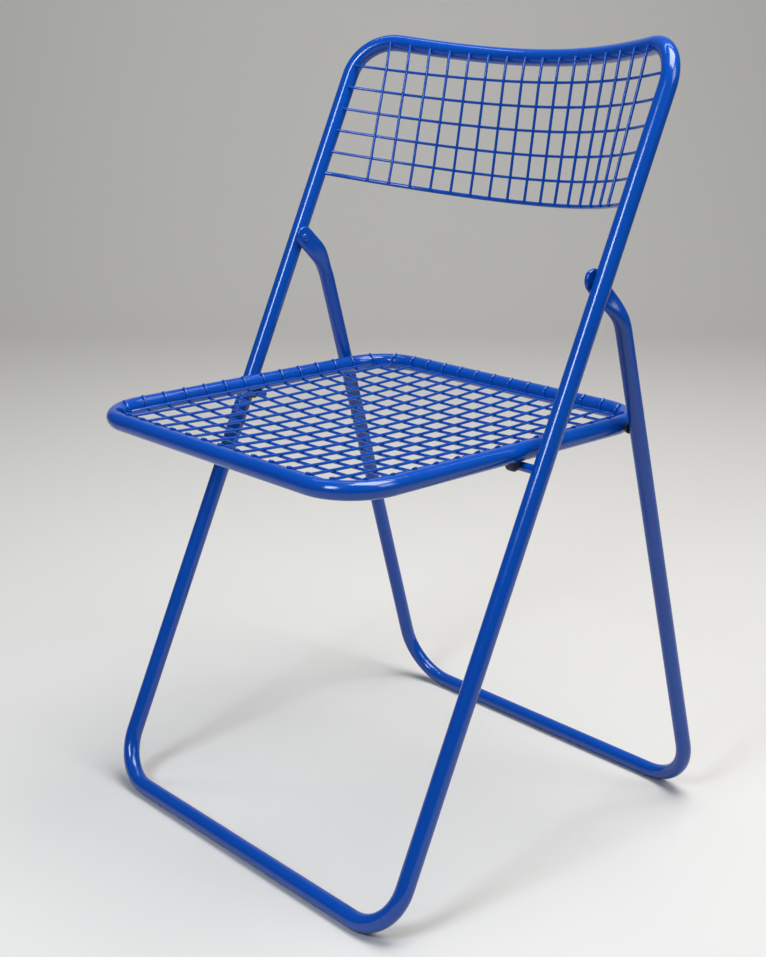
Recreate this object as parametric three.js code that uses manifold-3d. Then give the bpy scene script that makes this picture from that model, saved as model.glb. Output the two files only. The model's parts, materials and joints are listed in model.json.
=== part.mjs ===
// Folding chair of bent steel tube with welded wire mesh for seat and back.
// Millimetres, +Z up, the sitter faces -Y, the sitter's left is +X.
import * as THREE from 'three';
import { mergeVertices } from 'three/addons/utils/BufferGeometryUtils.js';
import Module from 'manifold-3d';

// front frame: one closed loop of tube, from the foot bar to the top rail
const railTube = 17.5;        // outside diameter
const railSpan = 440;         // between the side rail axes
const railLean = 24.65;       // degrees back from upright
const railRise = 853;         // foot bar axis to top rail axis, along the rail
const railFootBend = 49;      // bend radii are at the tube's axis
const railTopBend = 45;
const topBow = 55;            // the top rail bends back in the middle
const topLift = 4;            // and rises a little along the rail
const topEase = 1.2;          // how softly that bow begins at the corners

// rear frame: a U of thinner tube, its ends pressed flat and riveted inside the rails
const legTube = 16;
const legFootIn = 2.8;        // each leg's axis at the foot bar inside the rail's axis
const legKneeIn = 5;          // and at the knee
const legLean = 15.4;         // degrees forward from upright
const legFootBend = 57;
const legTopBend = 40;
const legTopTurn = 25;        // degrees that the top of the leg turns toward the rail
const foldGap = 7;            // between rail and leg when they lie side by side
const pivotUp = 621;          // foot bar axis to leg rivet, along the rail
const tabThick = 4.5;         // leg tube pressed flat
const tabFlat = 24;           // flat length below the rivet
const tabFlare = 32;          // length over which flat turns round
const tabShift = 1.2;         // the tab's middle line behind the rivet
const tabGap = 0.8;           // running gap between tab and rail

// seat: a closed loop of tube that turns on the legs and rests on two pegs
const seatTube = 17.5;
const seatDepth = 389;        // between the front and rear tube axes
const seatHeight = 426;       // tube axis above the floor at the seat pin
const seatTilt = 0.57;        // degrees, front lower
const seatBend = 52;
const seatBehind = 41.3;      // rear tube axis behind the seat pin

// welded wire mesh
const wire = 3;               // diameter
const meshPitch = 25.4;       // of the seat mesh
const meshMargin = 11;        // least gap from a tube to the first wire beside it
const weldSink = 0.5;         // how far crossing wires are pressed into each other
const seatDish = 9.4;         // depth of the seat mesh below its rim
const dishPower = 2.5;        // how flat the middle of the dish is
const wireInset = 3;          // wire ends stop short of the seat tube's crown
const hemWire = 4.5;          // lowest row of the back mesh
const backPitch = 24.4;       // along the wires of the bowed back mesh
const backMeshUp = 697;       // foot bar axis to the lowest back wire's ends, along the rail
const backRows = 6;
const backUprights = 16;
const backSetTop = 4;         // ends of the top row ahead of the rail axes
const backSetLow = 4;         // ends of the lowest row behind them
const backBowTop = 58;        // the rows bend back in the middle
const backBowLow = 85;
const backLiftTop = 11;       // and rise there along the rail
const backLiftLow = 16;

// pivots, pegs and hooks
const rivetShank = 6;
const rivetHead = 9;
const rivetDome = 1.6;
const rivetBite = 5;          // depth of a rivet in the tube that holds it
const spacerTube = 13;
const spacerLong = 3;         // fills the gap between seat tube and leg
const pegRod = 9;
const pegPast = 6;            // peg end beyond the seat tube's axis
const pegBite = 4;
const hookWide = 12;          // moulded catch ahead of the peg, along the seat tube
const hookThick = 11;         // and across it
const hookDrop = 7.5;         // below the seat tube
const hookSoft = 2;           // its rounded sides
const weldGap = 0.3;          // seats of welded and resting pieces
const runGap = 0.4;           // running gap of pegs and rivets in their holes

const tubeSides = 12;
const bendSteps = 5;

const wasm = await Module();
wasm.setup();

const rad = THREE.MathUtils.degToRad;
const railR = railTube / 2;
const legR = legTube / 2;
const seatR = seatTube / 2;
const flatToCorner = 1 / Math.cos(Math.PI / tubeSides);
const wireHalf = wire * Math.sqrt(Math.PI) / 4;   // square of the round wire's area
const wireStep = 2 * wireHalf - weldSink;
const hemHalf = hemWire * Math.sqrt(Math.PI) / 4;

const enamel = new THREE.MeshStandardMaterial({ color: 0x0a44ae, roughness: 0.24, metalness: 0.0 });
const darkNylon = new THREE.MeshStandardMaterial({ color: 0x10131f, roughness: 0.55, metalness: 0.0 });

// joined and cut solids

function solidOf(geometry) {
  const bare = geometry.clone();
  bare.deleteAttribute('normal');
  bare.deleteAttribute('uv');
  const merged = mergeVertices(bare, 1e-4);
  const corners = merged.index.array;
  const triVerts = [];
  for (let i = 0; i < corners.length; i += 3) {
    const [a, b, c] = [corners[i], corners[i + 1], corners[i + 2]];
    if (a !== b && b !== c && c !== a) triVerts.push(a, b, c);
  }
  return new wasm.Manifold(new wasm.Mesh({
    numProp: 3,
    vertProperties: new Float32Array(merged.attributes.position.array),
    triVerts: new Uint32Array(triVerts),
  }));
}

function geometryOf(solid) {
  const mesh = solid.getMesh();
  const geometry = new THREE.BufferGeometry();
  geometry.setAttribute('position', new THREE.BufferAttribute(new Float32Array(mesh.vertProperties), 3));
  geometry.setIndex(new THREE.BufferAttribute(new Uint32Array(mesh.triVerts), 1));
  geometry.computeVertexNormals();
  return geometry;
}

function joined(solids) {
  let layer = solids;
  while (layer.length > 1) {
    const next = [];
    for (let i = 0; i < layer.length; i += 2) {
      next.push(i + 1 < layer.length ? layer[i].add(layer[i + 1]) : layer[i]);
    }
    layer = next;
  }
  return layer[0];
}

// a round bar along X, from x0 to x1
function barX(x0, x1, diameter, y, z, sides = 16) {
  const bar = new THREE.CylinderGeometry(diameter / 2, diameter / 2, Math.abs(x1 - x0), sides);
  bar.rotateZ(Math.PI / 2);
  bar.translate((x0 + x1) / 2, y, z);
  return bar;
}

// bends of given radii at the inner corners of a chain of points
function bentPath(corners, radii, closed, steps = bendSteps) {
  const path = [];
  const count = corners.length;
  for (let i = 0; i < count; i++) {
    const here = corners[i];
    if (!closed && (i === 0 || i === count - 1)) {
      path.push(here.clone());
      continue;
    }
    const back = corners[(i + count - 1) % count].clone().sub(here).normalize();
    const ahead = corners[(i + 1) % count].clone().sub(here).normalize();
    const half = back.angleTo(ahead) / 2;
    const reach = radii[i] / Math.tan(half);
    const centre = back.clone().add(ahead).normalize().multiplyScalar(radii[i] / Math.sin(half)).add(here);
    const from = back.multiplyScalar(reach).add(here).sub(centre);
    const to = ahead.multiplyScalar(reach).add(here).sub(centre);
    const axis = from.clone().cross(to).normalize();
    const sweepAngle = from.angleTo(to);
    const pieces = Math.max(2, Math.round(steps * sweepAngle / (Math.PI / 2)));
    for (let k = 0; k <= pieces; k++) {
      path.push(from.clone().applyAxisAngle(axis, sweepAngle * k / pieces).add(centre));
    }
  }
  return path;
}

// skin over rings: each ring is a tube section that may be pressed flat along the side direction
function skin(path, section, closed) {
  const count = path.length;
  const positions = [];
  let sides = 0;
  for (let i = 0; i < count; i++) {
    const before = path[closed ? (i + count - 1) % count : Math.max(i - 1, 0)];
    const after = path[closed ? (i + 1) % count : Math.min(i + 1, count - 1)];
    const spot = section(i, path[i]);
    sides = spot.sides;
    const into = path[i].clone().sub(before).normalize();
    const out = after.clone().sub(path[i]).normalize();
    const along = into.add(out).normalize();
    const up = spot.up.clone().addScaledVector(along, -spot.up.dot(along)).normalize();
    const side = along.clone().cross(up);
    const corner = 1 / Math.cos(Math.PI / sides);
    for (let k = 0; k < sides; k++) {
      const turn = spot.phase + Math.PI * (2 * k + 1) / sides;
      const press = (spot.wide - spot.thick) * Math.sign(Math.round(Math.cos(turn) * 1e6));
      const point = path[i].clone();
      point.addScaledVector(up, press + spot.thick * corner * Math.cos(turn));
      point.addScaledVector(side, spot.thick * corner * Math.sin(turn));
      positions.push(point.x, point.y, point.z);
    }
  }
  const faces = [];
  const last = closed ? count : count - 1;
  for (let i = 0; i < last; i++) {
    const a = i * sides;
    const b = ((i + 1) % count) * sides;
    for (let k = 0; k < sides; k++) {
      const n = (k + 1) % sides;
      faces.push(a + k, b + n, b + k, a + k, a + n, b + n);
    }
  }
  if (!closed) {
    const end = (count - 1) * sides;
    for (let k = 1; k < sides - 1; k++) {
      faces.push(0, k + 1, k, end, end + k, end + k + 1);
    }
  }
  const geometry = new THREE.BufferGeometry();
  geometry.setAttribute('position', new THREE.Float32BufferAttribute(positions, 3));
  geometry.setIndex(faces);
  return geometry;
}

function wireAlong(path, up, half = wireHalf) {
  const section = { sides: 4, up, phase: 0, wide: half, thick: half };
  return solidOf(skin(path, () => section, false));
}

// front frame, drawn in its own leaning plane: x across, u up the rail, v behind it

const lean = rad(railLean);
const railUp = new THREE.Vector3(0, Math.sin(lean), Math.cos(lean));
const railBack = new THREE.Vector3(0, Math.cos(lean), -Math.sin(lean));
const down = new THREE.Vector3(0, 0, -1);

function onRail(x, u, v) {
  return new THREE.Vector3(x, 0, railR).addScaledVector(railUp, u).addScaledVector(railBack, v);
}

// turn of a section about its bar that lays one flat of it on the floor
function floorPhase(up, along) {
  const side = along.clone().cross(up);
  return Math.atan2(down.dot(side), down.dot(up));
}

const railX = railSpan / 2;
const bowShare = (x) => Math.max(1 - (x / railX) ** 2, 0) ** topEase;

const railLoop = bentPath([
  new THREE.Vector3(-railX, 0, 0),
  new THREE.Vector3(railX, 0, 0),
  new THREE.Vector3(railX, railRise, 0),
  new THREE.Vector3(-railX, railRise, 0),
], [railFootBend, railFootBend, railTopBend, railTopBend], true);
const topHalf = railX - railTopBend;
const topSpots = 17;
const topAt = railLoop.findIndex((p) => p.y > railRise - 1e-6 && p.x > 0);
const topRun = Array.from({ length: topSpots }, (_, k) => {
  return new THREE.Vector3(topHalf * (1 - 2 * (k + 1) / (topSpots + 1)), railRise, 0);
});
railLoop.splice(topAt + 1, 0, ...topRun);
const railPath = railLoop.map((p) => {
  const share = p.y > railRise / 2 ? bowShare(p.x) : 0;
  return onRail(p.x, p.y + topLift * share, topBow * share);
});
const railPhase = floorPhase(railBack, new THREE.Vector3(1, 0, 0));
const railSection = { sides: tubeSides, up: railBack, phase: railPhase, wide: railR, thick: railR };

// pivots, in the side view

const legPivot = onRail(0, pivotUp, 0);
const legOffset = railR + legR + foldGap;
const legTilt = rad(legLean);
const legUp = new THREE.Vector3(0, -Math.sin(legTilt), Math.cos(legTilt));
const legBack = new THREE.Vector3(0, Math.cos(legTilt), Math.sin(legTilt));
const legLine = legPivot.clone().addScaledVector(legBack, legOffset);
const onLeg = (z) => legLine.clone().addScaledVector(legUp, (z - legLine.z) / legUp.z);
const legFoot = onLeg(legR);
const seatPivot = onLeg(seatHeight);
const seatRearY = seatPivot.y + seatBehind;
const seatFrontY = seatRearY - seatDepth;

// the flat tab lies inside the rail, the knee below it, the corner at the floor
const railFace = railX - railR * flatToCorner;
const tabX = railX - railR - tabGap - tabThick / 2;
const turn = rad(legTopTurn);
const tabOut = legBack.clone().multiplyScalar(Math.cos(turn)).addScaledVector(legUp, Math.sin(turn));
const tabStart = legPivot.clone().addScaledVector(tabOut, tabShift);
const tabRun = (legOffset - tabShift * Math.cos(turn) - legTopBend * (1 - Math.cos(turn))) / Math.sin(turn);
const tabReach = tabRun + legTopBend * Math.tan(turn / 2);
const tabDown = legUp.clone().multiplyScalar(-Math.cos(turn)).addScaledVector(legBack, Math.sin(turn));
const tabWide = tabThick / 2 + (Math.PI * legTube - Math.PI * tabThick) / 4;
const kneeX = railX - legKneeIn;
const legKnee = tabStart.clone().addScaledVector(tabDown, tabReach).setX(kneeX);
const legCorner = legFoot.clone().setX(railX - legFootIn);

// the seat fits between the legs with a spacer on each side
const legXAtSeat = THREE.MathUtils.mapLinear(seatHeight, legCorner.z, legKnee.z, legCorner.x, legKnee.x);
const legSide = legXAtSeat - legR * flatToCorner;
const seatSide = legSide - spacerLong - 2 * weldGap;
const seatX = seatSide - seatR * flatToCorner;
const seatWall = seatX + seatR;

// the peg stands on the rail's axis where the tilted seat tube rests on it
const tilt = rad(seatTilt);
const seatUp = new THREE.Vector3(0, -Math.sin(tilt), Math.cos(tilt));
const seatAlong = new THREE.Vector3(0, Math.cos(tilt), Math.sin(tilt));
const pegBelow = seatR + runGap + pegRod / 2;
const railFromSeat = onRail(0, 0, 0).sub(seatPivot);
const peg = onRail(0, -(pegBelow + railFromSeat.dot(seatUp)) / railUp.dot(seatUp), 0);
const pegAhead = peg.clone().sub(seatPivot).dot(seatAlong);
const pegEnd = seatX - pegPast;
const rivetHole = rivetShank + 2 * runGap;
const rivetSeat = rivetShank + 2 * weldGap;
let frontFrame = solidOf(skin(railPath, () => railSection, true));
for (const s of [-1, 1]) {
  const wall = railX - railR;
  const rivetSocket = barX(s * (railFace - 2), s * (wall + rivetBite), rivetSeat, legPivot.y, legPivot.z);
  const pegSocket = barX(s * (railFace - 2), s * (wall + pegBite), pegRod + 2 * weldGap, peg.y, peg.z);
  frontFrame = frontFrame.subtract(solidOf(rivetSocket)).subtract(solidOf(pegSocket));
}

// back mesh: deeply bowed rows between the rails, uprights that end on the front of the top rail

const rowEndX = railFace - 2 * weldGap - wireHalf / 2;
const rowSteps = 14;
const backTop = backMeshUp + (backRows - 1) * backPitch;
const alongBack = (share, low, top) => THREE.MathUtils.lerp(low, top, share);
const backShare = (row) => row / (backRows - 1);

// place on the mesh: x across, share from the lowest row to the top one, ahead of the rows by step
function onBack(x, share, step = 0) {
  const bow = 1 - (x / railFace) ** 2;
  const u = alongBack(share, backMeshUp, backTop) + bow * alongBack(share, backLiftLow, backLiftTop);
  const v = alongBack(share, backSetLow, -backSetTop) + bow * alongBack(share, backBowLow, backBowTop);
  return { x, u, v: v - step };
}

// x at a given way along a bowed row from its middle
function alongRow(way, share) {
  const bend = Math.hypot(alongBack(share, backBowLow, backBowTop), alongBack(share, backLiftLow, backLiftTop));
  const pieces = 40;
  let x = 0;
  for (let k = 0; k < pieces; k++) {
    x += way / pieces / Math.hypot(1, 2 * bend * x / railFace ** 2);
  }
  return x;
}

// rows end at the inner side of the rails, which draws in where the top bend begins
function rowReach(share) {
  const u = alongBack(share, backMeshUp, backTop);
  const rise = Math.max(u + wireHalf - (railRise - railTopBend), 0);
  const inner = railTopBend - railR * flatToCorner;
  const drawn = inner - Math.sqrt(Math.max(inner ** 2 - rise ** 2, 0));
  return rowEndX - drawn;
}

const backWires = [];
for (let row = 0; row < backRows; row++) {
  const share = backShare(row);
  const rowEnd = rowReach(share);
  const path = Array.from({ length: rowSteps + 1 }, (_, k) => {
    const spot = onBack(rowEnd * (2 * k / rowSteps - 1), share);
    return onRail(spot.x, spot.u, spot.v);
  });
  backWires.push(wireAlong(path, railBack, row === 0 ? hemHalf : wireHalf));
}
for (let i = 0; i < backUprights; i++) {
  const way = (i - (backUprights - 1) / 2) * backPitch;
  const low = onBack(alongRow(way, 0), 0, hemHalf + wireHalf - weldSink);
  const top = onBack(alongRow(way, 1), 1, wireStep);
  const rest = (railRise + topLift - top.u) / (top.u - low.u);
  const x = top.x + (top.x - low.x) * rest;
  const share = bowShare(x);
  const topU = railRise + topLift * share;
  const slope = topBow * (bowShare(x + 1) - bowShare(x - 1)) / 2;
  const clear = railR * flatToCorner + 2 * weldGap + wireHalf;
  const fall = (top.v - (topBow * share - clear)) / (topU - top.u);
  const stand = clear * Math.hypot(1, slope, fall) + wireHalf * Math.abs(slope);
  const path = [
    onRail(low.x, low.u - hemHalf, low.v + hemHalf * (low.v - top.v) / (top.u - low.u)),
    onRail(top.x, top.u, top.v),
    onRail(x, topU + wireHalf, topBow * share - stand),
  ];
  backWires.push(wireAlong(path, railBack));
}

// rear frame

const mirrored = (p) => p.clone().setX(-p.x);
const legPath = bentPath(
  [tabStart.clone().setX(kneeX), legKnee, legCorner, mirrored(legCorner), mirrored(legKnee),
    tabStart.clone().setX(-kneeX)],
  [0, legTopBend, legFootBend, legFootBend, legTopBend, 0], false);

// extra rings: the rounded end beyond the rivet, and the change from flat to round below it
function tabRings(path) {
  const end = path[0];
  const tip = end.clone().sub(path[1]).normalize();
  const rings = [0.96, 0.8, 0.5].map((share) => end.clone().addScaledVector(tip, share * tabWide));
  const flat = end.clone().addScaledVector(tip, -tabFlat);
  return [...rings, end, flat, ...path.slice(1)];
}
function flareRings(path) {
  let gone = 0;
  const dense = [path[0]];
  for (let i = 1; i < path.length; i++) {
    const step = path[i].distanceTo(path[i - 1]);
    for (const mark of [0.15, 0.35, 0.6, 0.8, 1].map((s) => tabFlat + s * tabFlare)) {
      if (mark > gone + 1 && mark < gone + step - 1) {
        dense.push(path[i - 1].clone().lerp(path[i], (mark - gone) / step));
      }
    }
    gone += step;
    dense.push(path[i]);
  }
  return dense;
}
const halfCount = legPath.length / 2;
const oneSide = tabRings(flareRings(legPath.slice(0, halfCount)));
const rearPhase = floorPhase(legBack, new THREE.Vector3(-1, 0, 0));
const flatPhase = Math.round(rearPhase / (Math.PI / 6)) * (Math.PI / 6);

// each ring's distance from the rivet decides how flat it is and how far it steps in to the tab
const fromRivet = [];
oneSide.forEach((p, i) => {
  const tipRings = 3;
  if (i <= tipRings) fromRivet.push(i === tipRings ? 0 : -p.distanceTo(oneSide[tipRings]));
  else fromRivet.push(fromRivet[i - 1] + p.distanceTo(oneSide[i - 1]));
});
const roundShare = (way) => THREE.MathUtils.smoothstep(way, tabFlat, tabFlat + tabFlare);
oneSide.forEach((p, i) => {
  p.x -= (kneeX - tabX) * (1 - roundShare(fromRivet[i]));
});
const rearPath = [...oneSide, ...oneSide.map(mirrored).reverse()];
function legSection(i) {
  const k = i < oneSide.length ? i : rearPath.length - 1 - i;
  const way = fromRivet[k];
  const round = roundShare(way);
  const thick = THREE.MathUtils.lerp(tabThick / 2, legR, round);
  let wide = THREE.MathUtils.lerp(tabWide, legR, round);
  if (way < 0) wide = Math.max(Math.sqrt(tabWide ** 2 - way ** 2), thick);
  const phase = way > tabFlat + tabFlare ? rearPhase : flatPhase;
  return { sides: tubeSides, up: legBack, phase, wide, thick };
}
let rearFrame = solidOf(skin(rearPath, legSection, false));
for (const s of [-1, 1]) {
  const tabHole = barX(s * (tabX - tabThick), s * (tabX + tabThick), rivetHole, legPivot.y, legPivot.z);
  const legWall = legXAtSeat - legR;
  const seatHole = barX(s * (legWall - 2), s * (legWall + rivetBite), rivetSeat, seatPivot.y, seatPivot.z);
  rearFrame = rearFrame.subtract(solidOf(tabHole)).subtract(solidOf(seatHole));
}

// seat frame, level, with the rivet holes in its outer walls

const seatLoop = bentPath([
  new THREE.Vector3(-seatX, seatFrontY, seatHeight),
  new THREE.Vector3(seatX, seatFrontY, seatHeight),
  new THREE.Vector3(seatX, seatRearY, seatHeight),
  new THREE.Vector3(-seatX, seatRearY, seatHeight),
], [seatBend, seatBend, seatBend, seatBend], true);
const zUp = new THREE.Vector3(0, 0, 1);
const seatSection = { sides: tubeSides, up: zUp, phase: 0, wide: seatR, thick: seatR };
let seatFrame = solidOf(skin(seatLoop, () => seatSection, true));
for (const s of [-1, 1]) {
  const hole = barX(s * (seatWall - rivetBite), s * (seatWall + 2), rivetHole, seatPivot.y, seatPivot.z);
  seatFrame = seatFrame.subtract(solidOf(hole));
}

// seat mesh: dished wires whose ends lie on the seat tube just inside its crown

const seatMidY = (seatFrontY + seatRearY) / 2;
const crownZ = seatHeight + seatR + weldGap + wireHalf;
const halfX = seatX - wireInset;
const halfY = seatDepth / 2 - wireInset;
// a wire beside the middle ends sooner where the seat tube's corner bend draws in
function wireReach(aside, half, halfAside) {
  const past = Math.abs(aside) - (halfAside + wireInset - seatBend);
  if (past <= 0) return half;
  return half + wireInset - seatBend + Math.sqrt((seatBend - wireInset) ** 2 - past ** 2);
}
function dishZ(x, y) {
  const across = 1 - Math.min(Math.abs(x) / halfX, 1) ** dishPower;
  const deep = 1 - Math.min(Math.abs(y - seatMidY) / halfY, 1) ** dishPower;
  return crownZ - seatDish * across * deep;
}
function wireSpots(count, reach) {
  const spots = [-reach];
  for (let i = 0; i < count; i += 2) {
    spots.push((i - (count - 1) / 2) * meshPitch);
  }
  const lastAt = (count - 1) / 2 * meshPitch;
  if (lastAt - spots[spots.length - 1] > 1) spots.push(lastAt);
  spots.push(reach);
  return spots;
}
const evenCount = (clear) => Math.floor((clear - 2 * meshMargin) / meshPitch) + 1;
const acrossCount = evenCount(2 * seatX - seatTube);
const deepCount = evenCount(seatDepth - seatTube);
const seatWires = [];
for (let i = 0; i < deepCount; i++) {
  const aside = (i - (deepCount - 1) / 2) * meshPitch;
  const y = seatMidY + aside;
  const spots = wireSpots(acrossCount, wireReach(aside, halfX, halfY));
  const path = spots.map((x) => new THREE.Vector3(x, y, dishZ(x, y)));
  seatWires.push(wireAlong(path, zUp));
}
for (let i = 0; i < acrossCount; i++) {
  const x = (i - (acrossCount - 1) / 2) * meshPitch;
  const reach = wireReach(x, halfY, halfX);
  const path = wireSpots(deepCount, reach).map((dy) => {
    const lift = Math.abs(dy) < reach ? wireStep : 0;
    return new THREE.Vector3(x, seatMidY + dy, dishZ(x, seatMidY + dy) + lift);
  });
  seatWires.push(wireAlong(path, zUp));
}

// rivets, spacers, pegs and hooks

function turnedX(profile, s, x, y, z) {
  const body = new THREE.LatheGeometry(profile.map(([r, h]) => new THREE.Vector2(r, h)), 16);
  body.rotateZ(-s * Math.PI / 2);
  body.translate(s * x, y, z);
  return body;
}

// shank from the holding tube's wall to a low domed head inside the tab
function backRivet(s) {
  const headFace = tabX - tabThick / 2 - weldGap;
  const length = railX - railR + rivetBite - weldGap - headFace;
  return turnedX([
    [0, -rivetDome],
    [rivetHead * 0.28, -rivetDome * 0.85],
    [rivetHead * 0.44, -rivetDome * 0.45],
    [rivetHead / 2, 0],
    [rivetShank / 2, 0],
    [rivetShank / 2, length],
    [0, length],
  ], s, headFace, legPivot.y, legPivot.z);
}

// pin between seat tube and leg
function seatRivet(s) {
  const from = seatWall - rivetBite + weldGap;
  const to = legXAtSeat - legR + rivetBite - weldGap;
  return barX(s * from, s * to, rivetShank, seatPivot.y, seatPivot.z);
}

// spacer ring round that pin
function seatSpacer(s) {
  const bore = rivetShank / 2 + weldGap;
  const rim = spacerTube / 2;
  const soft = 0.6;
  return turnedX([
    [bore, 0],
    [rim - soft, 0],
    [rim, soft],
    [rim, spacerLong - soft],
    [rim - soft, spacerLong],
    [bore, spacerLong],
    [bore, 0],
  ], s, seatSide + weldGap, seatPivot.y, seatPivot.z);
}

function supportPeg(s) {
  const length = railX - railR + pegBite - weldGap - pegEnd;
  const r = pegRod / 2;
  return turnedX([
    [0, 0],
    [r * 0.7, 0],
    [r, r * 0.3],
    [r, length],
    [0, length],
  ], s, pegEnd, peg.y, peg.z);
}

// moulded catch under the seat tube, just ahead of the peg, its top hollowed to the tube
function seatHook(s) {
  const rim = hookWide / 2;
  const low = -seatR - hookDrop;
  const shape = new THREE.Shape();
  shape.moveTo(rim - hookSoft, -seatR / 3);
  shape.lineTo(hookSoft - rim, -seatR / 3);
  shape.lineTo(hookSoft - rim, low + rim);
  shape.absarc(0, low + rim, rim - hookSoft, Math.PI, 2 * Math.PI, false);
  shape.closePath();
  const round = { depth: hookThick - 2 * hookSoft, bevelThickness: hookSoft, bevelSize: hookSoft, bevelSegments: 2 };
  const block = new THREE.ExtrudeGeometry(shape, { ...round, curveSegments: 8 });
  block.translate(0, 0, hookSoft - hookThick / 2);
  block.rotateX(Math.PI / 2);
  block.rotateZ(Math.PI / 2);
  const y = seatPivot.y + pegAhead - pegRod / 2 - runGap - rim;
  block.translate(s * seatX, y, seatHeight);
  const bed = new THREE.CylinderGeometry(seatR + weldGap, seatR + weldGap, 2 * hookWide, tubeSides);
  bed.rotateY(Math.PI / tubeSides);
  bed.scale(flatToCorner, 1, flatToCorner);
  bed.translate(s * seatX, y, seatHeight);
  return solidOf(block).subtract(solidOf(bed));
}

// scene graph: the rear frame hangs on the leg rivets, the seat on the rear frame

const chair = new THREE.Group();
const rear = new THREE.Group();
const seat = new THREE.Group();
const midY = (seatFrontY - seatR + legFoot.y + legR) / 2;
chair.position.set(0, -midY, 0);
rear.position.copy(legPivot);
seat.position.copy(seatPivot).sub(legPivot);
seat.rotation.x = tilt;
chair.add(rear);
rear.add(seat);

function place(group, pivot, name, geometry, material) {
  geometry.translate(0, -pivot.y, -pivot.z);
  const mesh = new THREE.Mesh(geometry, material);
  mesh.name = name;
  group.add(mesh);
}
const origin = new THREE.Vector3();

place(chair, origin, 'front_frame', geometryOf(frontFrame), enamel);
place(chair, origin, 'back_mesh', geometryOf(joined(backWires)), enamel);
place(rear, legPivot, 'rear_frame', geometryOf(rearFrame), enamel);
place(seat, seatPivot, 'seat_frame', geometryOf(seatFrame), enamel);
place(seat, seatPivot, 'seat_mesh', geometryOf(joined(seatWires)), enamel);
for (const [s, hand] of [[1, 'left'], [-1, 'right']]) {
  place(chair, origin, `back_pivot_rivet_${hand}`, geometryOf(solidOf(backRivet(s))), enamel);
  place(chair, origin, `support_peg_${hand}`, geometryOf(solidOf(supportPeg(s))), enamel);
  place(rear, legPivot, `seat_pivot_pin_${hand}`, geometryOf(solidOf(seatRivet(s))), enamel);
  place(rear, legPivot, `seat_pivot_spacer_${hand}`, geometryOf(solidOf(seatSpacer(s))), darkNylon);
  place(seat, seatPivot, `seat_hook_${hand}`, geometryOf(seatHook(s)), darkNylon);
}

export default chair;
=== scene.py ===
import json
import math

import bmesh
import bpy
from mathutils import Matrix, Vector


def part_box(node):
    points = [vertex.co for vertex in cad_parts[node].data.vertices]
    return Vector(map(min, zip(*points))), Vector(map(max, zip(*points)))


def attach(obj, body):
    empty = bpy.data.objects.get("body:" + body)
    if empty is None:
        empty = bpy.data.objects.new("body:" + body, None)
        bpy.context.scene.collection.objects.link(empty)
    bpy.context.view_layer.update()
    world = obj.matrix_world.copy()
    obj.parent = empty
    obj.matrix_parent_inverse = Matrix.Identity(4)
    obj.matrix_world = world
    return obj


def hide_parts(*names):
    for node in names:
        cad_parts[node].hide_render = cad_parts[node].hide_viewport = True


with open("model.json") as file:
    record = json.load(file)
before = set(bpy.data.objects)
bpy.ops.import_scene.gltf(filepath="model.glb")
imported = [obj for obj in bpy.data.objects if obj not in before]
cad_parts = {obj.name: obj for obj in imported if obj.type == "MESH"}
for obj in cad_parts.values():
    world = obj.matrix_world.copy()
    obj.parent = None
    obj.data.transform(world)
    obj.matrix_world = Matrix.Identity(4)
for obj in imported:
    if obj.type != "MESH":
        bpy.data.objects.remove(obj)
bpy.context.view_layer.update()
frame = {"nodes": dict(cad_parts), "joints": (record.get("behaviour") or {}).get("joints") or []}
mm = 0.001
scene = bpy.context.scene
joints = {joint["name"]: Vector(joint["pos_m"]) for joint in frame["joints"]}
legPivot = joints["rear_fold"]
seatPivot = joints["seat_lift"]
print("frame loaded:", len(frame["nodes"]), "nodes")


def linear(hexColour):  # sRGB hex to linear light
    parts = [int(hexColour[i:i + 2], 16) / 255 for i in (1, 3, 5)]
    light = [c / 12.92 if c <= 0.04045 else ((c + 0.055) / 1.055) ** 2.4 for c in parts]
    return (*light, 1.0)


def addNode(tree, kind, settings={}, values={}, links={}):
    node = tree.nodes.new(kind)
    for name, value in settings.items():
        setattr(node, name, value)
    for name, value in values.items():
        node.inputs[name].default_value = value
    for name, source in links.items():
        tree.links.new(source, node.inputs[name])
    return node


def newMaterial(name):
    material = bpy.data.materials.new(name)
    material.use_nodes = True
    material.node_tree.nodes.clear()
    return material, material.node_tree


# gloss enamel, sprayed and baked on steel: deep even blue, sharp highlights, a trace of orange peel
enamelLook = {
    "blue": "#0045A0",
    "deepBlue": "#003C92",
    "cloud": 90,          # mm, slow change of tone along the tubes
    "peel": 1.6,          # mm, orange peel; drawn this coarse so that it shows
    "peelDepth": 0.012,   # mm
    "smear": 14,          # mm, handling marks in the gloss
    "smearSpan": (0.3, 0.7),  # the noise values at which the gloss ends
    "gloss": (0.11, 0.19),  # roughness
}


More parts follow.
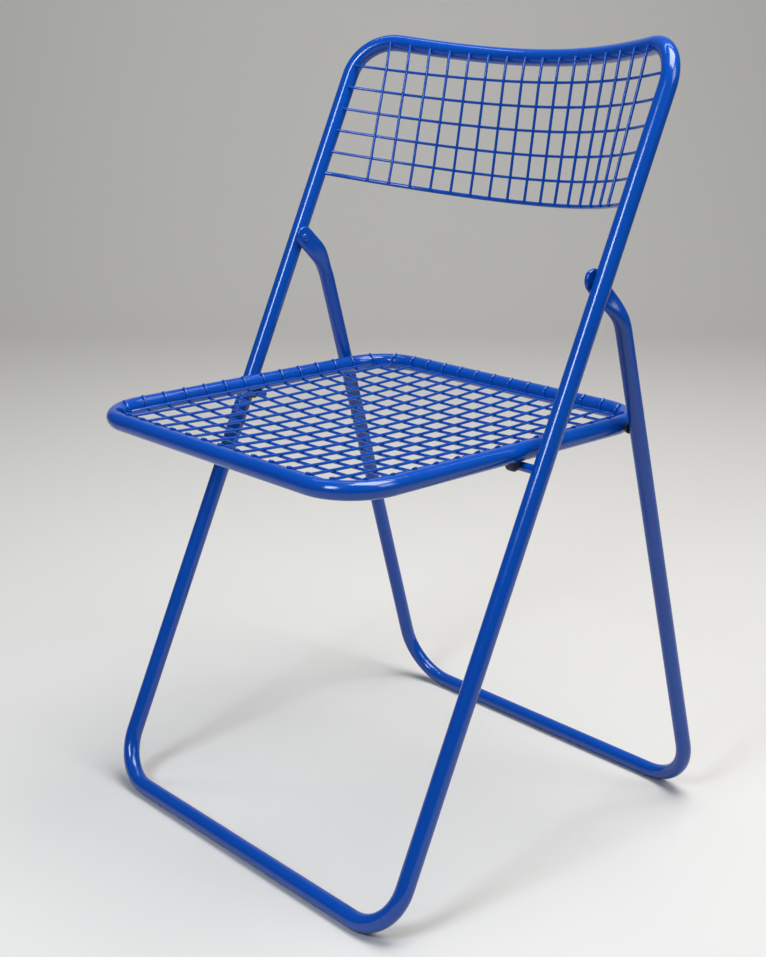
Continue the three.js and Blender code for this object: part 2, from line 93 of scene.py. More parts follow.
def enamelMaterial(look):
    material, tree = newMaterial("gloss_blue_enamel")
    place = addNode(tree, "ShaderNodeTexCoord").outputs["Object"]
    cloud = addNode(tree, "ShaderNodeTexNoise", values={"Scale": 1 / (look["cloud"] * mm), "Detail": 2.0},
                    links={"Vector": place})
    tone = addNode(tree, "ShaderNodeMix", {"data_type": "RGBA"},
                   {"A": linear(look["deepBlue"]), "B": linear(look["blue"])}, {"Factor": cloud.outputs["Fac"]})
    smear = addNode(tree, "ShaderNodeTexNoise", values={"Scale": 1 / (look["smear"] * mm), "Detail": 4.0},
                    links={"Vector": place})
    low, high = look["smearSpan"]
    smooth, dull = look["gloss"]
    gloss = addNode(tree, "ShaderNodeMapRange",
                    values={"From Min": low, "From Max": high, "To Min": smooth, "To Max": dull},
                    links={"Value": smear.outputs["Fac"]})
    peel = addNode(tree, "ShaderNodeTexNoise", values={"Scale": 1 / (look["peel"] * mm), "Detail": 1.0},
                   links={"Vector": place})
    skin = addNode(tree, "ShaderNodeBump", values={"Strength": 1.0, "Distance": look["peelDepth"] * mm},
                   links={"Height": peel.outputs["Fac"]})
    paint = addNode(tree, "ShaderNodeBsdfPrincipled", values={"IOR": 1.5},
                    links={"Base Color": tone.outputs["Result"], "Roughness": gloss.outputs["Result"],
                           "Normal": skin.outputs["Normal"]})
    addNode(tree, "ShaderNodeOutputMaterial", links={"Surface": paint.outputs["BSDF"]})
    return material


# satin nylon, moulded: nearly black, soft sheen, fine grain; its near-black also serves as painted shade on the
# seat spacers and catches, where the chair lies in deep shade
nylonLook = {"dark": "#11141F", "worn": "#1B2030", "grain": 0.7, "grainDepth": 0.02}  # grain in mm


def nylonMaterial(look):
    material, tree = newMaterial("satin_nylon_black_and_painted_shade")
    place = addNode(tree, "ShaderNodeTexCoord").outputs["Object"]
    grain = addNode(tree, "ShaderNodeTexNoise", values={"Scale": 1 / (look["grain"] * mm), "Detail": 3.0},
                    links={"Vector": place})
    tone = addNode(tree, "ShaderNodeMix", {"data_type": "RGBA"},
                   {"A": linear(look["dark"]), "B": linear(look["worn"])}, {"Factor": grain.outputs["Fac"]})
    skin = addNode(tree, "ShaderNodeBump", values={"Strength": 0.4, "Distance": look["grainDepth"] * mm},
                   links={"Height": grain.outputs["Fac"]})
    nylon = addNode(tree, "ShaderNodeBsdfPrincipled", values={"Roughness": 0.5, "IOR": 1.53},
                    links={"Base Color": tone.outputs["Result"], "Normal": skin.outputs["Normal"]})
    addNode(tree, "ShaderNodeOutputMaterial", links={"Surface": nylon.outputs["BSDF"]})
    return material


enamel = enamelMaterial(enamelLook)
nylon = nylonMaterial(nylonLook)
print("materials made")


def ringEdges(ring):
    inRing = set(ring)
    return list({e for v in ring for e in v.link_edges if e.other_vert(v) in inRing})


# a round section pushed along a path, step by step; gives back the rings as well
def tubeAlong(path, radius, sides, closed=False):
    bm = bmesh.new()
    count = len(path)
    ways = []
    for i in range(count):
        before = path[i - 1] if closed or i > 0 else path[i]
        after = path[(i + 1) % count] if closed or i < count - 1 else path[i]
        into = (path[i] - before).normalized()
        out = (after - path[i]).normalized()
        ways.append((into + out).normalized())
    ring = bmesh.ops.create_circle(bm, segments=sides, radius=radius)["verts"]
    facing = Vector((0, 0, 1)).rotation_difference(ways[0]).to_matrix().to_4x4()
    bmesh.ops.transform(bm, matrix=Matrix.Translation(path[0]) @ facing, verts=ring)
    rings = [ring]
    for i in range(1, count):
        made = bmesh.ops.extrude_edge_only(bm, edges=ringEdges(ring))["geom"]
        ring = [g for g in made if isinstance(g, bmesh.types.BMVert)]
        swing = ways[i - 1].rotation_difference(ways[i]).to_matrix().to_4x4()
        bmesh.ops.transform(bm, matrix=Matrix.Translation(path[i]) @ swing @ Matrix.Translation(-path[i - 1]),
                            verts=ring)
        rings.append(ring)
    if closed:
        bmesh.ops.bridge_loops(bm, edges=ringEdges(rings[0]) + ringEdges(rings[-1]))
    return bm, rings, ways


# closes the open ends of a tube and rounds their rims
def closeEnds(bm, rings, soft):
    rims = ringEdges(rings[0]) + ringEdges(rings[-1])
    bmesh.ops.holes_fill(bm, edges=rims, sides=0)
    bmesh.ops.bevel(bm, geom=rims, offset=soft, offset_type="OFFSET", segments=2, profile=0.5,
                    affect="EDGES", material=-1)


def wireAlong(path, radius, sides, soft):
    bm, rings, _ = tubeAlong(path, radius, sides)
    closeEnds(bm, rings, soft)
    return bm


def evenStops(half):  # from -1 to 1
    return [k / half - 1 for k in range(2 * half + 1)]


# several small meshes put into one
def gathered(parts):
    whole = bmesh.new()
    for part in parts:
        carrier = bpy.data.meshes.new("carrier")
        part.to_mesh(carrier)
        part.free()
        whole.from_mesh(carrier)
        bpy.data.meshes.remove(carrier)
    return whole


def pieceFrom(bm, name, body, nodes, material, crease=40):
    bmesh.ops.recalc_face_normals(bm, faces=bm.faces[:])
    mesh = bpy.data.meshes.new(name)
    bm.to_mesh(mesh)
    bm.free()
    mesh.shade_smooth()
    mesh.set_sharp_from_angle(angle=math.radians(crease))
    mesh.materials.append(material)
    piece = bpy.data.objects.new(name, mesh)
    scene.collection.objects.link(piece)
    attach(piece, body)
    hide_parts(*nodes)
    return piece


# the corners of a chain of points turned into round bends
def bentPath(corners, radii, closed, steps=18):
    path = []
    count = len(corners)
    for i, here in enumerate(corners):
        if not closed and i in (0, count - 1):
            path.append(here.copy())
            continue
        back = (corners[i - 1] - here).normalized()
        ahead = (corners[(i + 1) % count] - here).normalized()
        half = back.angle(ahead) / 2
        centre = here + (back + ahead).normalized() * radii[i] / math.sin(half)
        start = here + back * radii[i] / math.tan(half) - centre
        stop = here + ahead * radii[i] / math.tan(half) - centre
        axis = start.cross(stop).normalized()
        sweep = start.angle(stop)
        pieces = max(3, round(steps * sweep / (math.pi / 2)))
        for k in range(pieces + 1):
            path.append(centre + Matrix.Rotation(sweep * k / pieces, 3, axis) @ start)
    return path


def smoothStep(low, high, value):
    share = min(max((value - low) / (high - low), 0), 1)
    return share * share * (3 - 2 * share)


# front frame, in mm: one closed loop in a leaning plane, x across, u up the rail, v behind it
railFrame = {
    "tube": 17.5, "span": 440, "leanDeg": 24.65, "rise": 853, "footBend": 49, "topBend": 45,
    "bow": 55, "lift": 4, "ease": 1.2, "pivotUp": 621, "sides": 40, "topSteps": 36,
}
lean = math.radians(railFrame["leanDeg"])
railUp = Vector((0, math.sin(lean), math.cos(lean)))
railBack = Vector((0, math.cos(lean), -math.sin(lean)))
railR = railFrame["tube"] / 2 * mm
railX = railFrame["span"] / 2 * mm
railRise = railFrame["rise"] * mm
railFoot = legPivot - railUp * railFrame["pivotUp"] * mm


def onRail(x, u, v):
    return Vector((x, 0, 0)) + railFoot + railUp * u + railBack * v


def bowShare(x):  # the top rail is bent back in the middle
    return max(1 - (x / railX) ** 2, 0) ** railFrame["ease"]


def frontTube():
    bends = [railFrame["footBend"] * mm] * 2 + [railFrame["topBend"] * mm] * 2
    flat = bentPath([Vector((-railX, 0, 0)), Vector((railX, 0, 0)), Vector((railX, railRise, 0)),
                     Vector((-railX, railRise, 0))], bends, True)
    path = []
    nearTop, shortest = railRise * 0.99, 50 * mm
    steps = railFrame["topSteps"]
    for i, p in enumerate(flat):
        path.append(p)
        n = flat[(i + 1) % len(flat)]
        if min(p.y, n.y) > nearTop and (n - p).length > shortest:  # the straight run that is bowed next
            path += [p.lerp(n, k / steps) for k in range(1, steps)]
    lifted = []
    for p in path:
        share = bowShare(p.x) if p.y > railRise / 2 else 0
        lifted.append(onRail(p.x, p.y + railFrame["lift"] * mm * share, railFrame["bow"] * mm * share))
    return tubeAlong(lifted, railR, railFrame["sides"], closed=True)[0]


pieceFrom(frontTube(), "front_tube", "front", ["front_frame"], enamel)
print("front frame made")

# back panel, in mm: deeply bowed rows between the rails, uprights in front of them that end on the top rail
backPanel = {
    "wire": 3.0, "hem": 4.5, "pitch": 24.4, "rows": 6, "uprights": 16, "lowestUp": 697,
    "set": (4, -4), "bow": (85, 58), "lift": (16, 11),  # pairs: lowest row, top row
    "sink": 0.5, "weld": 0.3, "endBelow": 3.4, "rowInRail": 2,  # how wires lie in each other and in the rails
    "rowSoft": 0.3, "endSoft": 0.4, "sides": 12, "steps": 24,
}
wireR = backPanel["wire"] / 2 * mm
hemR = backPanel["hem"] / 2 * mm
wireStep = backPanel["wire"] * mm - backPanel["sink"] * mm
backEnd = railX - railR


def between(pair, share):
    return (pair[0] + (pair[1] - pair[0]) * share) * mm


def onBack(x, share, ahead=0):  # share runs from the lowest row to the top one
    bow = 1 - (x / backEnd) ** 2
    u = backPanel["lowestUp"] * mm + (backPanel["rows"] - 1) * backPanel["pitch"] * mm * share
    u += between(backPanel["lift"], share) * bow
    slope = 2 * x / backEnd ** 2 * between(backPanel["bow"], share)
    v = between(backPanel["set"], share) + between(backPanel["bow"], share) * bow - ahead * math.hypot(1, slope)
    return x, u, v


def alongRow(way, share):  # x at a given way along a bowed row
    bend = math.hypot(between(backPanel["bow"], share), between(backPanel["lift"], share))
    x = 0
    strides = 60
    for _ in range(strides):
        x += way / strides / math.hypot(1, 2 * bend * x / backEnd ** 2)
    return x


def rowReach(share):  # the rails draw in where the top bend begins
    inner = railFrame["topBend"] * mm - railR
    rise = max(onBack(backEnd, share)[1] - (railRise - railFrame["topBend"] * mm), 0)
    return backEnd + backPanel["rowInRail"] * mm - inner + math.sqrt(max(inner ** 2 - rise ** 2, 0))


def uprightPath(way):
    rows = backPanel["rows"]
    spots = []
    for row in range(rows):
        share = row / (rows - 1)
        ahead = wireStep + (hemR - wireR if row == 0 else 0)
        spots.append(onBack(alongRow(way, share), share, ahead))
    low, top = Vector(spots[0]), Vector(spots[-1])
    first = low + (low - top) * (hemR / (top.y - low.y))
    x = top.x + (top.x - low.x) * (railRise - top.y) / (top.y - low.y)
    share = bowShare(x)
    topU = railRise + railFrame["lift"] * mm * share
    axisV = railFrame["bow"] * mm * share
    slope = railFrame["bow"] * mm * (bowShare(x + mm) - bowShare(x - mm)) / (2 * mm)
    close = railR + wireR - backPanel["weld"] * mm
    endU = topU - backPanel["endBelow"] * mm
    fall = (top.z - axisV + close) / (endU - top.y)
    end = (x, endU, axisV - close * math.hypot(1, slope, fall) + fall * (topU - endU))
    return [onRail(*spot) for spot in [first, *spots, end]]


def backWires():
    wires = []
    for row in range(backPanel["rows"]):
        share = row / (backPanel["rows"] - 1)
        reach = rowReach(share)
        path = [onRail(*onBack(reach * s, share)) for s in evenStops(backPanel["steps"])]
        radius = hemR if row == 0 else wireR
        wires.append(wireAlong(path, radius, backPanel["sides"], backPanel["rowSoft"] * mm))
    for i in range(backPanel["uprights"]):
        path = uprightPath((i - (backPanel["uprights"] - 1) / 2) * backPanel["pitch"] * mm)
        wires.append(wireAlong(path, wireR, backPanel["sides"], backPanel["endSoft"] * mm))
    return gathered(wires)


pieceFrom(backWires(), "back_wires", "front", ["back_mesh"], enamel)
print("back panel made")

# rear frame, in mm: a U of thinner tube, its ends bent toward the rails and pressed flat
legFrame = {
    "tube": 16, "footIn": 2.8, "kneeIn": 5, "leanDeg": 15.4, "footBend": 57, "topBend": 75, "turnDeg": 30,
    "foldGap": 7, "tabThick": 4.5, "tabFlat": 18, "tabFlare": 38, "tabShift": 1.2, "tabGap": 0.8, "sides": 40,
    "ringStep": 4, "ringReach": 110, "endSoft": 0.4,
    "square": 4,  # how sharply the section turns at the flat's edges
    "tipDeg": (86, 76, 64, 52, 40, 28, 14),  # rings round the flat end
}
legR = legFrame["tube"] / 2 * mm
legTilt = math.radians(legFrame["leanDeg"])
legUp = Vector((0, -math.sin(legTilt), math.cos(legTilt)))
legBack = Vector((0, math.cos(legTilt), math.sin(legTilt)))
tabHalf = legFrame["tabThick"] / 2 * mm
tabWide = tabHalf + math.pi * (legR - tabHalf) / 2
tabX = railX - railR - legFrame["tabGap"] * mm - tabHalf
kneeX = railX - legFrame["kneeIn"] * mm


def legCorners():
    offset = railR + legR + legFrame["foldGap"] * mm
    line = legPivot + legBack * offset
    foot = line + legUp * ((legR - line.z) / legUp.z)
    turn = math.radians(legFrame["turnDeg"])
    bend = legFrame["topBend"] * mm
    shift = legFrame["tabShift"] * mm
    start = legPivot + (legBack * math.cos(turn) + legUp * math.sin(turn)) * shift
    straight = (offset - shift * math.cos(turn) - bend * (1 - math.cos(turn))) / math.sin(turn)
    run = straight + bend * math.tan(turn / 2)
    knee = start + (legBack * math.sin(turn) - legUp * math.cos(turn)) * run
    footX = railX - legFrame["footIn"] * mm
    return (Vector((kneeX, *start.yz)), Vector((kneeX, *knee.yz)), Vector((footX, *foot.yz)))


def rearTube():
    start, knee, foot = legCorners()
    other = [Vector((-p.x, p.y, p.z)) for p in (foot, knee, start)]
    bends = [0, legFrame["topBend"] * mm, legFrame["footBend"] * mm]
    path = bentPath([start, knee, foot] + other, bends + bends[::-1], False)
    half = path[:len(path) // 2]
    full = []
    for p, n in zip(half, half[1:]):  # closer rings where the tube turns from flat to round
        close = (p - start).length < legFrame["ringReach"] * mm
        steps = max(1, round((n - p).length / (legFrame["ringStep"] * mm))) if close else 1
        full += [p.lerp(n, k / steps) for k in range(steps)]
    full.append(half[-1])
    tip = (start - knee).normalized()
    ends = [start + tip * tabWide * math.sin(math.radians(a)) for a in legFrame["tipDeg"]]
    side = ends + full
    gone = [-(p - start).length for p in ends] + [0]
    for p, n in zip(full, full[1:]):
        gone.append(gone[-1] + (n - p).length)
    flat, flare = legFrame["tabFlat"] * mm, legFrame["tabFlare"] * mm
    for p, far in zip(side, gone):  # the tube steps in to its flat end
        p.x -= (kneeX - tabX) * (1 - smoothStep(flat, flat + flare, far))
    whole = side + [Vector((-p.x, p.y, p.z)) for p in reversed(side)]
    bm, rings, ways = tubeAlong(whole, legR, legFrame["sides"])
    gone = gone + gone[::-1]
    for ring, way, centre, far in zip(rings, ways, whole, gone):
        if far > flat + flare:
            continue
        share = smoothStep(flat, flat + flare, far)
        thick = tabHalf + (legR - tabHalf) * share
        wide = tabWide + (legR - tabWide) * share
        if far < 0:  # rounded end
            wide = max(math.sqrt(max(tabWide ** 2 - far ** 2, 0)), tabHalf)
        up = (legBack - way * legBack.dot(way)).normalized()
        aside = way.cross(up)
        for v in ring:
            angle = math.atan2((v.co - centre).dot(aside), (v.co - centre).dot(up))
            over = (wide - thick) * min(max(math.cos(angle) * legFrame["square"], -1), 1)
            v.co = centre + up * (over + thick * math.cos(angle)) + aside * thick * math.sin(angle)
    closeEnds(bm, rings, legFrame["endSoft"] * mm)
    return bm


pieceFrom(rearTube(), "rear_tube", "rear", ["rear_frame"], enamel)
print("rear frame made")

# seat, in mm: a closed loop that turns on the rear legs, its front a little lower
seatLoop = {"tube": 17.5, "depth": 389, "bend": 52, "behind": 41.3, "tiltDeg": 0.57, "sides": 40}
seatR = seatLoop["tube"] / 2 * mm
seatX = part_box("seat_frame")[1].x - seatR
seatRear = seatPivot.y + seatLoop["behind"] * mm
seatFront = seatRear - seatLoop["depth"] * mm
seatZ = seatPivot.z
seatTurn = Matrix.Translation(seatPivot) @ Matrix.Rotation(math.radians(seatLoop["tiltDeg"]), 4, "X")
seatTurn = seatTurn @ Matrix.Translation(-seatPivot)


def seatTube():
    path = bentPath([Vector((-seatX, seatFront, seatZ)), Vector((seatX, seatFront, seatZ)),
                     Vector((seatX, seatRear, seatZ)), Vector((-seatX, seatRear, seatZ))],
                    [seatLoop["bend"] * mm] * 4, True)
    return tubeAlong([seatTurn @ p for p in path], seatR, seatLoop["sides"], closed=True)[0]


pieceFrom(seatTube(), "seat_tube", "seat", ["seat_frame"], enamel)
print("seat frame made")

# seat panel, in mm: a shallow bowl of wires in two layers; at the edge they rise steeply, hug the tube
# and end just inside its crown
seatPanel = {
    "pitch": 25.4, "margin": 11, "inset": 1.8, "weld": 0.8, "sides": 12, "endSoft": 0.4,
    "drop": 12.6, "edge": 12,  # depth of the steep edge, and the width it takes
    "dish": 9, "settle": 14, "steps": 24,
    "rimIn": 14, "rimLow": 0.9, "rimSteps": 12,  # the wires that run along the tubes
    "endStops": (0, 1, 2, 3, 4, 5, 6, 6.8, 7.4, 8, 9, 10.5, 12, 14, 17, 21, 27),  # from a wire's end
}
pitch = seatPanel["pitch"] * mm
seatMid = (seatFront + seatRear) / 2
wireInset = seatPanel["inset"] * mm
halfX = seatX - wireInset
halfY = (seatRear - seatFront) / 2 - wireInset
hugR = seatR + wireR - seatPanel["weld"] * mm  # wires hug the tube at this distance from its axis
rimZ = seatZ + math.sqrt(hugR ** 2 - wireInset ** 2)


def evenCount(clear):
    return int((clear - 2 * seatPanel["margin"] * mm) / pitch) + 1


def fromRim(x, y):  # how far inside the line on which the wire ends lie
    bend = seatLoop["bend"] * mm - wireInset
    sideX, sideY = abs(x) - halfX + bend, abs(y - seatMid) - halfY + bend
    return bend - math.hypot(max(sideX, 0), max(sideY, 0)) - min(max(sideX, sideY), 0)


def dishZ(x, y):
    inside = max(fromRim(x, y), 0)
    short = 1 - min(inside / (seatPanel["edge"] * mm), 1)
    bowl = max(1 - (x / halfX) ** 2, 0) * max(1 - ((y - seatMid) / halfY) ** 2, 0)
    low = rimZ - seatPanel["drop"] * mm * (1 - short ** 2) - seatPanel["dish"] * mm * bowl * (1 - short ** 2)
    out = wireInset + inside
    if out < hugR:  # no lower than the tube lets it
        low = max(low, seatZ + math.sqrt(hugR ** 2 - out ** 2))
    return low


def wireReach(aside, half, halfAside):  # wires end sooner where the corner bend draws in
    bend = seatLoop["bend"] * mm
    past = max(abs(aside) - (halfAside + wireInset - bend), 0)
    return half + wireInset - bend + math.sqrt((bend - wireInset) ** 2 - past ** 2)


def wireStops(reach):  # close together where the wire bends at its ends
    steps = seatPanel["steps"]
    near = [e * mm / reach for e in seatPanel["endStops"]]
    middle = [near[-1] + (2 - 2 * near[-1]) * k / steps for k in range(1, steps)]
    return [e - 1 for e in near + middle] + [1 - e for e in reversed(near)]


def crossWire(aside):  # lower layer, side to side
    reach = wireReach(aside, halfX, halfY)
    y = seatMid + aside
    return [Vector((reach * s, y, dishZ(reach * s, y))) for s in wireStops(reach)]


def lengthWire(x):  # upper layer, front to back; it comes down to the tube at its ends
    reach = wireReach(x, halfY, halfX)
    path = []
    for s in wireStops(reach):
        y = seatMid + reach * s
        lift = wireStep * smoothStep(0, seatPanel["settle"] * mm, reach * (1 - abs(s)))
        path.append(Vector((x, y, dishZ(x, y) + lift)))
    return path


def rimWires():  # the last wire along each tube lies up on the bent edge
    bend, rimIn = seatLoop["bend"] * mm, seatPanel["rimIn"] * mm
    past = math.sqrt((bend - hugR) ** 2 - (bend - rimIn) ** 2)
    low = seatZ - seatPanel["rimLow"] * mm
    stops = evenStops(seatPanel["rimSteps"])
    paths = []
    for side in (-1, 1):
        away, reach = side * (halfY + wireInset - rimIn), halfX + wireInset - bend + past
        paths.append([Vector((reach * s, seatMid + away, low)) for s in stops])
        away, reach = side * (halfX + wireInset - rimIn), halfY + wireInset - bend + past
        paths.append([Vector((away, seatMid + reach * s, low)) for s in stops])
    return paths


def seatWires():
    deepCount = evenCount(seatRear - seatFront - 2 * seatR)
    acrossCount = evenCount(2 * (seatX - seatR))
    paths = [crossWire((i - (deepCount - 1) / 2) * pitch) for i in range(deepCount)]
    paths += [lengthWire((i - (acrossCount - 1) / 2) * pitch) for i in range(acrossCount)]
    paths += rimWires()
    sides, soft = seatPanel["sides"], seatPanel["endSoft"] * mm
    return gathered([wireAlong([seatTurn @ p for p in path], wireR, sides, soft) for path in paths])


pieceFrom(seatWires(), "seat_wires", "seat", ["seat_mesh"], enamel)
print("seat panel made")


# a turned piece: a profile of (radius, distance along X) spun about X
def turnedPiece(profile, sign, x, y, z, steps=40):
    bm = bmesh.new()
    spots = [bm.verts.new((h, r, 0)) for r, h in profile]
    rim = [bm.edges.new(pair) for pair in zip(spots, spots[1:])]
    bmesh.ops.spin(bm, geom=spots + rim, cent=(0, 0, 0), axis=(1, 0, 0), angle=2 * math.pi, steps=steps,
                   use_merge=True)
    bmesh.ops.remove_doubles(bm, verts=bm.verts[:], dist=1e-6)
    bmesh.ops.scale(bm, vec=(mm * sign, mm, mm), verts=bm.verts[:])
    bmesh.ops.translate(bm, vec=(x * sign, y, z), verts=bm.verts[:])
    return bm


# rivets, spacers, pins, pegs and catches, in mm
smallPieces = {
    "rivetHead": 9, "rivetDome": 1.6, "rivetShank": 6, "rivetLong": 10, "pinSoft": 0.4, "peg": 9,
    "spacer": 13, "spacerLong": 3, "spacerSoft": 0.7, "spacerEase": 0.2,
    "hookWide": 12, "hookThick": 11, "hookSoft": 3, "hookHidden": 3,
}
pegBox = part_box("support_peg_left")
pegPlace = (pegBox[0] + pegBox[1]) / 2
hookTop = pegBox[1].z + smallPieces["hookHidden"] * mm


def legRivet(sign):
    head, dome = smallPieces["rivetHead"] / 2, smallPieces["rivetDome"]
    shank, long = smallPieces["rivetShank"] / 2, smallPieces["rivetLong"]
    profile = [(0, -dome * 0.72), (head * 0.22, -dome * 0.76), (head * 0.36, -dome), (head * 0.5, -dome),
               (head * 0.76, -dome * 0.82), (head * 0.93, -dome * 0.5), (head, -dome * 0.12), (head, 0),
               (shank, 0), (shank, long), (0, long)]
    return turnedPiece(profile, sign, tabX - tabHalf, legPivot.y, legPivot.z)


# the spacer is near-black nylon; its black partly stands in as painted shade between the seat tube and the rear
# leg
def seatSpacer(sign):
    rim, bore = smallPieces["spacer"] / 2, smallPieces["rivetShank"] / 2
    long, soft, ease = smallPieces["spacerLong"], smallPieces["spacerSoft"], smallPieces["spacerEase"]
    profile = [(bore, 0), (rim - soft, 0), (rim - ease, ease), (rim, soft), (rim, long - soft),
               (rim - ease, long - ease), (rim - soft, long), (bore, long), (bore, 0)]
    return turnedPiece(profile, sign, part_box("seat_pivot_spacer_left")[0].x, seatPivot.y, seatPivot.z)


def seatPin(sign):
    shank, soft = smallPieces["rivetShank"] / 2, smallPieces["pinSoft"]
    low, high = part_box("seat_pivot_pin_left")
    long = (high.x - low.x) / mm
    profile = [(0, 0), (shank - soft, 0), (shank, soft), (shank, long - soft), (shank - soft, long), (0, long)]
    return turnedPiece(profile, sign, low.x, seatPivot.y, seatPivot.z)


def supportPeg(sign):
    r = smallPieces["peg"] / 2
    long = (pegBox[1].x - pegBox[0].x) / mm
    profile = [(0, 0), (r * 0.6, 0), (r * 0.86, r * 0.12), (r, r * 0.4), (r, long), (0, long)]
    return turnedPiece(profile, sign, pegBox[0].x, pegPlace.y, pegPlace.z)


# the catch is near-black nylon; its black partly stands in as painted shade under the seat tube, where the blue
# paint lies in deep shade
def seatHook(sign):  # moulded catch ahead of the peg, its top hidden in the seat tube
    low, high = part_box("seat_hook_left")
    rim = smallPieces["hookWide"] / 2 * mm
    bottom = low.z + rim
    outline = [(rim, hookTop), (-rim, hookTop)]
    steps = 16
    for k in range(steps + 1):
        angle = math.pi + math.pi * k / steps
        outline.append((rim * math.cos(angle), bottom + rim * math.sin(angle)))
    half = smallPieces["hookThick"] / 2 * mm
    bm = bmesh.new()
    face = bm.faces.new([bm.verts.new((-half, y, z)) for y, z in outline])
    made = bmesh.ops.extrude_face_region(bm, geom=[face])["geom"]
    farSide = [g for g in made if isinstance(g, bmesh.types.BMVert)]
    bmesh.ops.translate(bm, vec=(2 * half, 0, 0), verts=farSide)
    rims = [e for e in bm.edges if abs(e.verts[0].co.x - e.verts[1].co.x) < 1e-7]
    bmesh.ops.bevel(bm, geom=rims, offset=smallPieces["hookSoft"] * mm, offset_type="OFFSET", segments=4,
                    profile=0.5, affect="EDGES", material=-1)
    bmesh.ops.translate(bm, vec=(sign * seatX, (low.y + high.y) / 2, 0), verts=bm.verts[:])
    return bm


for sign, hand in ((1, "left"), (-1, "right")):
    pieceFrom(legRivet(sign), "leg_rivet_" + hand, "front", ["back_pivot_rivet_" + hand], enamel)
    pieceFrom(supportPeg(sign), "seat_peg_" + hand, "front", ["support_peg_" + hand], enamel)
    pieceFrom(seatPin(sign), "seat_pin_" + hand, "rear", ["seat_pivot_pin_" + hand], enamel)
    # spacers and catches take the near-black nylon, which is partly painted shade
    pieceFrom(seatSpacer(sign), "spacer_" + hand, "rear", ["seat_pivot_spacer_" + hand], nylon)
    pieceFrom(seatHook(sign), "hook_" + hand, "seat", ["seat_hook_" + hand], nylon)
print("small pieces made")

# floor with a cove behind, pale matt paper; metres, and the fibre in mm
stageLook = {
    "pale": "#C8C6C2", "back": 2.6, "cove": 1.2, "wide": 2.8, "near": 2.0, "wallHigh": 4, "turnDeg": 48,
    "fibre": 4, "fibreDepth": 0.05,
}


def studioFloor(look):
    material, tree = newMaterial("matt_pale_paper")
    place = addNode(tree, "ShaderNodeTexCoord").outputs["Object"]
    fibre = addNode(tree, "ShaderNodeTexNoise", values={"Scale": 1 / (look["fibre"] * mm), "Detail": 2.0},
                    links={"Vector": place})
    skin = addNode(tree, "ShaderNodeBump", values={"Strength": 0.15, "Distance": look["fibreDepth"] * mm},
                   links={"Height": fibre.outputs["Fac"]})
    paper = addNode(tree, "ShaderNodeBsdfPrincipled",
                    values={"Base Color": linear(look["pale"]), "Roughness": 0.9},
                    links={"Normal": skin.outputs["Normal"]})
    addNode(tree, "ShaderNodeOutputMaterial", links={"Surface": paper.outputs["BSDF"]})
    bm = bmesh.new()
    ends = [bm.verts.new((x, -look["near"], 0)) for x in (-look["wide"], look["wide"])]
    edge = bm.edges.new(ends)
    made = bmesh.ops.extrude_edge_only(bm, edges=[edge])["geom"]
    line = [g for g in made if isinstance(g, bmesh.types.BMVert)]
    bmesh.ops.translate(bm, vec=(0, look["near"] + look["back"], 0), verts=line)
    edge = [e for e in line[0].link_edges if e.other_vert(line[0]) in line]
    made = bmesh.ops.spin(bm, geom=line + edge, cent=(0, look["back"], look["cove"]), axis=(1, 0, 0),
                          angle=math.pi / 2, steps=24)["geom_last"]
    edge = [g for g in made if isinstance(g, bmesh.types.BMEdge)]
    made = bmesh.ops.extrude_edge_only(bm, edges=edge)["geom"]
    wallTop = [g for g in made if isinstance(g, bmesh.types.BMVert)]
    bmesh.ops.translate(bm, vec=(0, 0, look["wallHigh"]), verts=wallTop)
    turn = Matrix.Rotation(math.radians(look["turnDeg"]), 3, "Z")
    bmesh.ops.rotate(bm, cent=(0, 0, 0), matrix=turn, verts=bm.verts[:])
    bmesh.ops.recalc_face_normals(bm, faces=bm.faces[:])
    mesh = bpy.data.meshes.new("studio_floor")
    bm.to_mesh(mesh)
    bm.free()
    mesh.shade_smooth()
    mesh.materials.append(material)
    floor = bpy.data.objects.new("studio_floor", mesh)
    scene.collection.objects.link(floor)


studioFloor(stageLook)

# camera where the picture was taken from
cameraSet = {
    "place": (1.1097, -1.0063, 0.790), "yawDeg": 48.3, "pitchDeg": -16.29,
    "focus": 1527, "imageHigh": 957,  # pixels
    "sensor": 36,  # mm
}


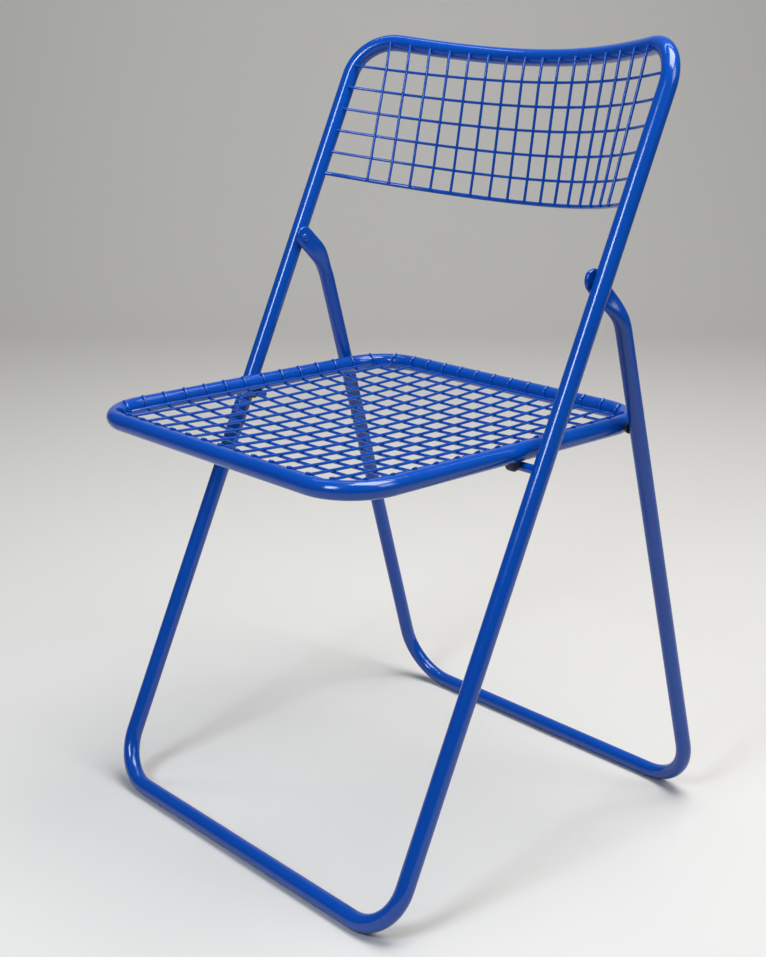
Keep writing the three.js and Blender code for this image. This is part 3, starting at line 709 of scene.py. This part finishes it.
def studioCamera(look):
    lens = bpy.data.cameras.new("studio_camera")
    lens.sensor_fit = "VERTICAL"
    lens.sensor_height = look["sensor"]
    lens.sensor_width = look["sensor"]
    lens.lens = look["focus"] / look["imageHigh"] * look["sensor"]
    lens.clip_start = 0.05
    camera = bpy.data.objects.new("studio_camera", lens)
    yaw, tip = math.radians(look["yawDeg"]), math.radians(look["pitchDeg"])
    sight = Vector((-math.sin(yaw) * math.cos(tip), math.cos(yaw) * math.cos(tip), math.sin(tip)))
    camera.location = look["place"]
    camera.rotation_euler = sight.to_track_quat("-Z", "Y").to_euler()
    scene.collection.objects.link(camera)
    scene.camera = camera


studioCamera(cameraSet)

# soft boxes; each has its place, the point it faces, its size and its power
lightSet = {
    "key_box": {"place": (0.35, -1.9, 1.85), "at": (0, 0, 0.5), "size": (0.6, 0.9),
                "watts": 34, "tint": "#E2EEFF"},
    "top_box": {"place": (0.5, 0.3, 2.5), "at": (0, 0, 0.4), "size": (1.3, 1.3),
                "watts": 66, "tint": "#FFFFFF"},
    "right_fill": {"place": (1.9, 0.6, 2.0), "at": (0, 0, 0.5), "size": (1.0, 1.0),
                   "watts": 16, "tint": "#FFFFFF"},
    "back_wash": {"place": (-0.75, 0.7, 2.7), "at": (-2.3, 2.1, 0.9), "size": (2.4, 0.6),
                  "watts": 34, "tint": "#FFFFFF"},
}
ambient = {"colour": "#E6E8EC", "strength": 0.1}


def studioLights():
    for name, look in lightSet.items():
        lamp = bpy.data.lights.new(name, "AREA")
        lamp.shape = "RECTANGLE"
        lamp.size, lamp.size_y = look["size"]
        lamp.energy = look["watts"]
        lamp.color = linear(look["tint"])[:3]
        light = bpy.data.objects.new(name, lamp)
        light.location = look["place"]
        sight = Vector(look["at"]) - Vector(look["place"])
        light.rotation_euler = sight.to_track_quat("-Z", "Y").to_euler()
        scene.collection.objects.link(light)
    world = bpy.data.worlds.new("studio_air")
    world.use_nodes = True
    air = world.node_tree.nodes["Background"]
    air.inputs["Color"].default_value = linear(ambient["colour"])
    air.inputs["Strength"].default_value = ambient["strength"]
    scene.world = world
    scene.view_settings.view_transform = "Standard"


studioLights()
print("stage, camera and lights made")
